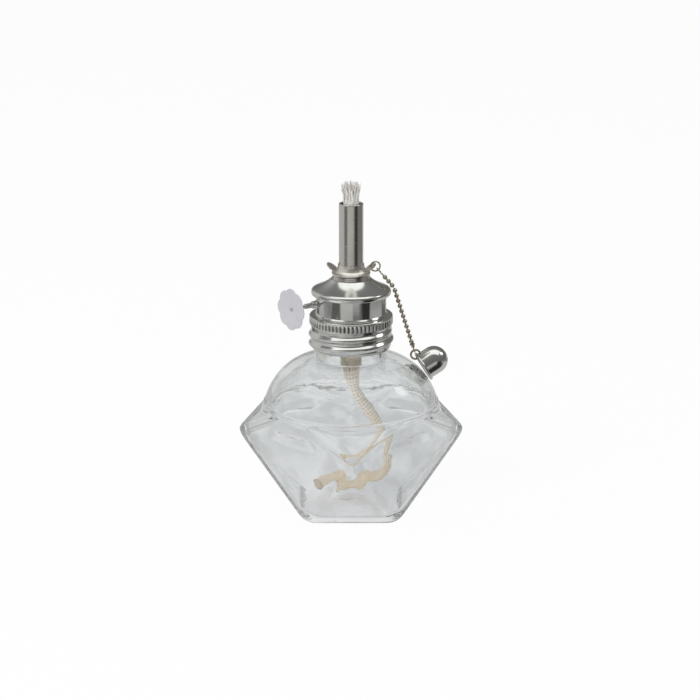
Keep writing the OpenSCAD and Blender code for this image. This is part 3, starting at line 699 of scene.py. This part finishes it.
class LAMP_OT_roof(bpy.types.Operator):
    """Make the smooth hollow cone with its rolled rim over the burner's drum"""
    bl_idname = "spirit_lamp.roof"
    bl_label = "Roof"

    def execute(self, context):
        hook, rim, over, inner = DRUM_R + 0.4, RIM_Z, RIM_Z + 0.1, ROOF_R - SHEET
        u = np.linspace(0, 1, 30)
        # height above the rim: mostly straight, with a cubic part that steepens towards the socket
        rise = over + 1.25 + ROOF_RISE * (0.72 * u + 0.28 * u ** 3)
        cone = np.stack([ROOF_R - 0.75 - (ROOF_R - 1.15 - SOCKET_R) * u, rise], 1)
        edge = smooth_path([[hook, 0, rim - 0.95], [ROOF_R - 0.62, 0, rim - 0.95],
                            [ROOF_R - 0.17, 0, rim - 0.6], [ROOF_R, 0, over + 0.1],
                            [ROOF_R - 0.2, 0, over + 0.8], [ROOF_R - 0.75, 0, over + 1.25]], 40)[:, ::2]
        lid = [[SOCKET_R + 0.25, ROOF_Z], [SPIGOT_R, ROOF_Z], [SPIGOT_R, ROOF_Z - SHEET],
               [SOCKET_R, ROOF_Z - SHEET]]
        under = cone[-6:3:-3] - [0.15, SHEET]
        back = [[ROOF_R - 0.75, over + 0.55], [inner, over + 0.1], [inner, rim - SHEET - 0.05],
                [hook, rim - SHEET - 0.05]]
        profile = np.vstack([edge, cone[1:], lid, under, back])
        roof = surface_piece("roof_shell", turned(profile, 192), finish("roof"), "burner",
                             closed_rows=True)
        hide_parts("housing_roof")
        return {"FINISHED"}


# ---------------------------------------------------------------- thumbwheel

class LAMP_OT_thumbwheel(bpy.types.Operator):
    """Make the lobed, dished thumbwheel with its rivet"""
    bl_idname = "spirit_lamp.thumbwheel"
    bl_label = "Thumbwheel"

    def execute(self, context):
        count = 256
        a = np.arange(count) * TURN / count
        lobe, at = 0.43 * THUMB_R, 0.57 * THUMB_R
        near = (a + TURN / LOBES / 2) % (TURN / LOBES) - TURN / LOBES / 2
        # outline: the far side of a circle set off the middle, repeated for each lobe
        edge = at * np.cos(near) + np.sqrt(lobe ** 2 - (at * np.sin(near)) ** 2)
        dish, boss, half = 0.7, 1.7, THUMB_T / 2
        share = np.concatenate([np.linspace(0.04, 0.2, 4), np.linspace(0.22, 0.26, 3),
                                np.linspace(0.32, 0.93, 10)])

        def rise(r):
            """Dish of the disc: flat inside the boss and then straight up to the rim."""
            return dish * np.clip((r - boss) / (THUMB_R + 1 - boss), 0, 1)

        front_r = share[:, None] * edge
        round_t = np.radians(np.linspace(90, -90, 9))
        round_r = edge - half * (1 - np.cos(round_t[:, None]))
        radius = np.concatenate([front_r, round_r, front_r[::-1]])
        lift = np.concatenate([half + rise(front_r), half * np.sin(round_t)[:, None] + rise(round_r),
                               -half + rise(front_r[::-1])]) + half
        # pressed rays: each lobe carries a shallow flute along its middle
        inner, outer = np.clip((radius - 2.6) / 2, 0, 1), np.clip((edge - 0.4 - radius) / 1.5, 0, 1)
        lift = lift - 0.08 * np.cos(near * LOBES) * inner * outer
        axis = np.array([math.cos(WHEEL_HEADING), math.sin(WHEEL_HEADING), 0])
        across = np.array([-axis[1], axis[0], 0])
        up = np.array([0, 0, 1])
        middle = axis * WHEEL_AT - across * WHEEL_OFF + up * WHEEL_Z

        def placed(radius, lift):
            """Carries a distance from the wheel's middle and a height along its axle into place."""
            return rings(middle + lift[..., None] * axis, radius, a, across, up)

        disc = surface_piece("thumb_disc", placed(radius, lift)[::-1], finish("stamped"), "raiser",
                             capped=True)
        head = np.array([[0.85, -0.05], [0.85, 0.1], [0.75, 0.24], [0.5, 0.33], [0.2, 0.36]]) + [0, THUMB_T]
        surface_piece("wheel_rivet", placed(head[:, :1], head[:, 1:]), finish("wire"), "raiser",
                      capped=True)
        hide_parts("thumbwheel")
        return {"FINISHED"}


# ---------------------------------------------------------------- chain

def chain_point(at):
    """A point of the chain's plane in the row's frame."""
    return np.array([at[0] * math.cos(CHAIN_HEADING), at[0] * math.sin(CHAIN_HEADING), at[1]])


def chain_run(name, first, direction, count, before, after, body, node):
    """One run of ball chain: a turned line of hollow beads and the thin links that join them.

    Along the run the distance from its line is that of a sphere inside a bead, with a small collar where the
    link enters, and that of the link between two beads."""
    t = np.radians(np.linspace(-74, 74, 17))
    ball = np.stack([BEAD_D / 2 * np.cos(t), BEAD_D / 2 * np.sin(t)], 1)
    ball = np.vstack([[[0.3, -0.95]], [[0.36, -0.86]], ball, [[0.36, 0.86]], [[0.3, 0.95]]])
    line = np.concatenate([ball + [0, k * BEAD_STEP] for k in range(count)])
    line = np.vstack([[[0.3, -before]], line, [[0.3, (count - 1) * BEAD_STEP + after]]])
    a = np.arange(20) * TURN / 20
    d = chain_point(direction) / np.linalg.norm(chain_point(direction))
    across = np.cross(d, np.array([0, 1, 0]))
    across /= np.linalg.norm(across)
    rows = rings(chain_point(first) + line[:, 1:, None] * d, line[:, :1], a, across, np.cross(d, across))
    run = surface_piece(name, rows, finish("chain"), body, capped=True)
    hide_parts(node)


class LAMP_OT_chain(bpy.types.Operator):
    """Make the two runs of ball chain"""
    bl_idname = "spirit_lamp.chain"
    bl_label = "Ball chain"

    def execute(self, context):
        upper = (BEND - EAR_RING_AT) / np.linalg.norm(BEND - EAR_RING_AT)
        lower = (CAP_RING_AT - BEND) / np.linalg.norm(CAP_RING_AT - BEND)
        last = BEND - 0.6 * BEAD_D * upper
        first = last - (UPPER_BEADS - 1) * BEAD_STEP * upper
        chain_run("chain_beads_upper", first, upper, UPPER_BEADS, 2.81, BEAD_D / 2 + 0.05, "chain_top",
                  "chain_upper")
        first = BEND + 0.75 * BEAD_D * lower
        chain_run("chain_beads_lower", first, lower, LOWER_BEADS, 0.6 * BEAD_D, 1.0, "chain_run",
                  "chain_lower")
        return {"FINISHED"}


# ---------------------------------------------------------------- wick

def braid(u, v):
    """Height of a braid, 0 to 1: two crossing spirals of rounded ridges, over the share of a turn and the
    length in wick diameters."""
    return np.abs(np.sin(TURN * (4 * u + 1.1 * v))) * np.abs(np.sin(TURN * (4 * u - 1.1 * v)))


class LAMP_OT_wick_end(bpy.types.Operator):
    """Make the braided free end of the wick that hangs in the font"""
    bl_idname = "spirit_lamp.wick_end"
    bl_label = "Wick's free end"

    def execute(self, context):
        route = np.array(TAIL_ROUTE, float) + [0, 0, GUIDE_Z]
        path = smooth_path(route, 150)
        length = np.linalg.norm(np.diff(path, axis=0), axis=1).sum()
        sides = 40
        u = np.arange(sides)[None, :] / sides
        v = np.linspace(0, length / WICK_D, len(path))[:, None]
        # the loose cotton lies flat below the guide: narrow across the lamp's front, full width front to back
        flat = 1 - 0.42 * np.clip((v - 0.15) / 1.2, 0, 1)
        oval = np.sqrt((np.cos(TURN * u) / flat) ** 2 + np.sin(TURN * u) ** 2)
        radius = WICK_D / 2 * (0.95 + 0.07 * braid(u, v)) / oval
        tail = surface_piece("wick_free_end", tube_rows(path, radius, sides), finish("cotton"), None,
                             capped=True)
        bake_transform(tail)
        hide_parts("wick_tail")
        return {"FINISHED"}


class LAMP_OT_wick_top(bpy.types.Operator):
    """Make the wick's stem and its frayed top of loose yarns and fibres"""
    bl_idname = "spirit_lamp.wick_top"
    bl_label = "Wick's top"

    def execute(self, context):
        sizes = context.scene.lamp_sizes
        rng = np.random.default_rng(7)
        half = WICK_D / 2
        sides = 32
        stem_z = np.linspace(GUIDE_Z, MOUTH_Z + 2.0, 160)
        stem = np.stack([0 * stem_z, 0 * stem_z, stem_z], 1)
        u = np.arange(sides)[None, :] / sides
        v = ((stem_z - GUIDE_Z) / WICK_D)[:, None]
        taper = np.clip((MOUTH_Z + 2.3 - stem_z) / 2.3, 0, 1)[:, None] ** 0.5
        radius = half * (0.9 + 0.06 * braid(u, v)) * (0.55 + 0.45 * taper)
        body = surface_piece("wick_stem", tube_rows(stem, radius, sides, (0, 1, 0)), finish("fibre"), "wick",
                             capped=True)
        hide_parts("wick")
        strands("wick_yarns", sizes.yarns, steps=12, sides=6, thick=0.4, reach=1.0, rng=rng)
        strands("wick_fibres", sizes.fibres, steps=6, sides=3, thick=0.055, reach=1.25, rng=rng)
        return {"FINISHED"}


def strands(name, count, steps, sides, thick, reach, rng):
    """Loose strands of the frayed top: each starts inside the stem and leans outwards as it rises.

    A strand's place in the stem is a point of a sunflower spiral. Its lean grows with the 2.2nd power of the
    height, and two slow waves of its own bend it to and fro."""
    half = WICK_D / 2
    k = np.arange(count) + 0.5
    place = half * 0.82 * np.sqrt(k / count)
    turn = k * TURN * GOLDEN
    top = MOUTH_Z + rng.uniform(5.2, 8.1, count) * np.where(place > half * 0.6, 0.96, 1.0)
    t = np.linspace(0, 1, steps)[None, :, None]
    start = np.stack([place * np.cos(turn), place * np.sin(turn), np.full(count, MOUTH_Z - 1.5)], 1)[:, None]
    lean = rng.uniform(0.2, 0.85, count) * reach
    out = np.stack([np.cos(turn + rng.normal(0, 0.35, count)), np.sin(turn + rng.normal(0, 0.35, count)),
                    0 * turn], 1) * (lean * (0.7 + place / half * 1.6))[:, None]
    waves = rng.normal(0, 0.22 * reach, (count, 2, 3)) * [1, 1, 0]
    phase = rng.uniform(0, TURN, (count, 1, 1))
    rise = np.stack([0 * top, 0 * top, top - MOUTH_Z + 1.5], 1)[:, None]
    path = (start + rise * t + out[:, None] * t ** 2.2
            + waves[:, :1] * np.sin(t * 5.0 + phase) * t + waves[:, 1:] * np.sin(t * 11.0 + phase) * t * 0.5)
    path[..., 2] = np.minimum(path[..., 2], WICK_TOP - 0.05)
    wide = thick * (1.0 - 0.45 * t ** 3) * rng.uniform(0.8, 1.2, (count, 1, 1))
    points = rings(path[:, :, None], wide, np.arange(sides) * TURN / sides, *frames(path, (0.3, 1.0, 0.1)))
    s, i, j = np.meshgrid(np.arange(count), np.arange(steps - 1), np.arange(sides), indexing="ij")
    base = s * steps * sides + i * sides
    faces = np.stack([base + j, base + (j + 1) % sides, base + sides + (j + 1) % sides, base + sides + j], 3)
    ends = (np.arange(count)[:, None] * steps * sides + np.arange(sides)[None, :])
    caps = ends[:, ::-1].tolist() + (ends + (steps - 1) * sides).tolist()
    smooth_piece(name, points.reshape(-1, 3), faces.reshape(-1, 4).tolist() + caps, finish("fibre"), "wick")


# ---------------------------------------------------------------- carried pieces

class LAMP_OT_finishes(bpy.types.Operator):
    """Give every carried piece its finish"""
    bl_idname = "spirit_lamp.finishes"
    bl_label = "Finishes"

    def execute(self, context):
        wanted = {
            "nickel": ["burner_housing", "spindle_bushing"],
            "roof": ["snuffer_cap"],
            "satin": ["tube_socket", "wick_tube"],
            "foot": ["finger_flange"],
            "wire": ["spindle"],
            "brass": ["wick_guide", "spindle_bracket", "feed_wheel_inner", "feed_wheel_outer",
                      "spindle_washer"],
            "chain": ["ear_ring", "chain_clasp", "chain_connector", "cap_ring"],
            "gasket": ["neck_gasket"],
        }
        for name, nodes in wanted.items():
            for node in nodes:
                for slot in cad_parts[node].material_slots:
                    slot.material = finish(name)
        return {"FINISHED"}


# ---------------------------------------------------------------- studio

def bearing(turn, tilt):
    """Unit vector towards a bearing round the lamp, where 0 is -Y and 90 is +X, at a tilt above the level,
    both in degrees."""
    turn, tilt = math.radians(turn), math.radians(tilt)
    return math.sin(turn) * math.cos(tilt), -math.cos(turn) * math.cos(tilt), math.sin(tilt)


class LAMP_OT_camera(bpy.types.Operator):
    """Set the camera at the photograph's viewpoint"""
    bl_idname = "spirit_lamp.camera"
    bl_label = "Camera"

    def execute(self, context):
        turn = math.radians(VIEW_TURN)
        back = Vector(bearing(VIEW_TURN, VIEW_TILT))
        right = Vector((math.cos(turn), math.sin(turn), 0))
        up = back.cross(right)
        target = Vector((0, 0, VIEW_HEIGHT)) - up * VIEW_DOWN - right * VIEW_LEFT
        data = bpy.data.cameras.new("camera")
        data.sensor_width, data.lens = SENSOR, SENSOR * FOCAL_PIXELS / PICTURE_PIXELS
        data.clip_start, data.clip_end = 0.05, 50
        camera = bpy.data.objects.new("camera", data)
        context.scene.collection.objects.link(camera)
        camera.location = target + back * VIEW_AWAY
        camera.rotation_mode = "QUATERNION"
        camera.rotation_quaternion = (-back).to_track_quat("-Z", "Y")
        context.scene.camera = camera
        return {"FINISHED"}


def ring_bands(x, y, base, bands):
    """A value that depends on the bearing: base, and each band's own value between two bearings in degrees,
    with soft edges."""
    here = x.turn(y * -1.0) * (180 / math.pi)
    value = base
    for low, high, soft, level in bands:
        inside = here.between(low - soft, low + soft) * (1 - here.between(high - soft, high + soft))
        value = value + inside * (level - value)
    return value


# Bands of light and dark on the floor: two bearings, the softness of their edges, and the level between them
SKIRT_BANDS = ((-68, -34, 5, 0.95), (-8, 28, 6, 0.32), (34, 80, 4, 0.03))
KNURL_BANDS = ((-150, -105, 4, 0.04), (-68, -34, 5, 0.9), (-20, 20, 6, 0.2), (34, 80, 4, 0.03),
               (115, 160, 4, 0.06))
DRUM_BANDS = ((-150, -128, 5, 0.1), (-99, -75, 6, 0.28), (-70, -34, 3, 0.05), (5, 34, 3, 0.08),
              (34, 62, 2, 0.04), (118, 150, 6, 0.12))
TUBE_BANDS = ((-66, -36, 4, 0.12), (28, 68, 8, 0.03), (68, 130, 8, 0.22))


class LAMP_OT_studio(bpy.types.Operator):
    """Set the pale floor, the world and one soft lamp"""
    bl_idname = "spirit_lamp.studio"
    bl_label = "Studio"

    def execute(self, context):
        context.scene.view_settings.view_transform = "Standard"
        # light that is caught in the thick glass of the tips takes many turns to come out
        cycles = context.scene.cycles
        cycles.max_bounces = cycles.glossy_bounces = cycles.transmission_bounces = 40
        self.floor(context)
        self.world(context)
        self.lamp(context)
        return {"FINISHED"}

    def floor(self, context):
        """Pale floor: it takes the shadow, and metal sees its light and dark strips in it."""
        mesh = bpy.data.meshes.new("floor")
        mesh.from_pydata([(-8, -8, 0), (8, -8, 0), (8, 8, 0), (-8, 8, 0)], [], [[0, 1, 2, 3]])
        floor = bpy.data.objects.new("floor", mesh)
        context.scene.collection.objects.link(floor)
        material, f = new_finish("floor_paper")
        x, y, _ = f.axes(f.point())
        # upright metal mirrors the floor the farther away the higher it stands, so each piece has a ring of
        # its own: the distances over which the ring sets in, its level, and the bands in it
        away = (x * x + y * y).power(0.5)
        strips = last = ring_bands(x, y, 0.56, SKIRT_BANDS)
        for near, far, base, bands in ((0.242, 0.252, 0.62, KNURL_BANDS), (0.264, 0.272, 0.48, DRUM_BANDS),
                                       (0.30, 0.33, 0.62, TUBE_BANDS)):
            level = ring_bands(x, y, base, bands)
            strips = strips + away.between(near, far) * (level - last)
            last = level
        # through the glass the paper shades off from behind the lamp towards the camera and to both sides,
        # with soft clouds that the uneven glass would make
        aside = x.size().between(0.02, 0.14)
        cloud = f.noise(34.0, 3.0, 0.55, f.stretched((1.5, 0.45, 1))).between(0.38, 0.62)
        behind = 0.34 + y.between(-0.5, 0.2) * 0.40
        shade = f.emission(f.mix(aside, (0.975, 0.98, 1.0), (0.93, 0.96, 0.90)),
                           behind * (1 - aside * 0.4) * (0.86 + cloud * 0.24))
        paper = f.node("BsdfDiffuse", values={"Color": (0.94, 0.94, 0.94)})
        seen = f.node("MixShader", values={0: 0.88, 1: paper, 2: f.emission((1, 1, 1), 1.0)})
        f.output(f.by_ray(paper, seen, f.emission((1, 1, 0.98), strips), shade))
        mesh.materials.append(material)

    def world(self, context):
        """White to the eye, even light on the lamp, pale grey through the glass, and for metal a dim room
        with a soft box above, a round one at the right and a window at the left."""
        world = bpy.data.worlds.new("studio")
        world.use_nodes = True
        context.scene.world = world
        f = Finish(world.node_tree)
        x, y, z = f.axes(f.node("TexCoord", output="Generated"))
        above = z.between(0.02, 0.1)
        # the soft box lies level above the lamp, and these are its two directions
        bx, by = x / z, y / z
        box = (1 - (bx + 0.1).size().between(0.84, 0.92)) * by.between(-0.55, -0.48)
        box = box * (1 - by.between(0.3, 0.36)) * above
        side = bearing(100, 39)
        facing = x * side[0] + y * side[1] + z * side[2]
        round_box = facing.between(math.cos(math.radians(11)), math.cos(math.radians(4)))
        window = (x * -1.0).between(0.15, 0.7) * (1 - z.between(0.5, 0.85))
        room = 0.15 + z.between(0.0, 0.9) * 0.06 + window * 0.42 + box * 1.1 + round_box * 4.0
        # through the glass: bright straight behind the lamp, greyer to the sides and above
        behind = 0.33 + y.between(0.2, 0.97) * (0.49 - x.size().between(0.1, 0.6) * 0.2)
        kind = "Background"
        f.output(f.by_ray(f.emission((1, 1, 1), 0.78, kind), f.emission((1, 1, 1), 1.0, kind),
                          f.emission((0.97, 1.0, 0.96), room, kind),
                          f.emission((0.985, 0.99, 1.0), behind, kind)), "OutputWorld")

    def lamp(self, context):
        """One large soft lamp from the upper left of the camera, unseen in metal and glass."""
        data = bpy.data.lights.new("key", "AREA")
        data.shape, data.size, data.energy = "DISK", 0.9, 9.0
        key = bpy.data.objects.new("key", data)
        context.scene.collection.objects.link(key)
        key.location = (-0.8, -0.9, 1.3)
        key.rotation_mode = "QUATERNION"
        key.rotation_quaternion = (Vector((0, 0, 0.06)) - key.location).to_track_quat("-Z", "Y")
        key.visible_glossy = key.visible_transmission = key.visible_camera = False


# ---------------------------------------------------------------- panel and start

STEPS = ("camera", "wick_end", "glass", "collar", "roof", "thumbwheel", "chain", "wick_top", "finishes",
         "studio")


class LAMP_PT_panel(bpy.types.Panel):
    """Sizes, colours and the steps that make the lamp"""
    bl_idname = "LAMP_PT_panel"
    bl_label = "Spirit lamp"
    bl_space_type = "VIEW_3D"
    bl_region_type = "UI"
    bl_category = "Spirit Lamp"

    def draw(self, context):
        for group in (context.scene.lamp_sizes, context.scene.lamp_colours):
            column = self.layout.column()
            for name in group.__annotations__:
                column.prop(group, name)
        for step in STEPS:
            self.layout.operator("spirit_lamp." + step)


CLASSES = (LampSizes, LampColours, LAMP_OT_camera, LAMP_OT_wick_end, LAMP_OT_glass, LAMP_OT_collar,
           LAMP_OT_roof, LAMP_OT_thumbwheel, LAMP_OT_chain, LAMP_OT_wick_top, LAMP_OT_finishes,
           LAMP_OT_studio, LAMP_PT_panel)


def register():
    for cls in CLASSES:
        bpy.utils.register_class(cls)
    bpy.types.Scene.lamp_sizes = PointerProperty(type=LampSizes)
    bpy.types.Scene.lamp_colours = PointerProperty(type=LampColours)


def unregister():
    del bpy.types.Scene.lamp_colours
    del bpy.types.Scene.lamp_sizes
    for cls in reversed(CLASSES):
        bpy.utils.unregister_class(cls)


def main():
    register()
    for step in STEPS:
        getattr(bpy.ops.spirit_lamp, step)()


if __name__ == "__main__":
    main()
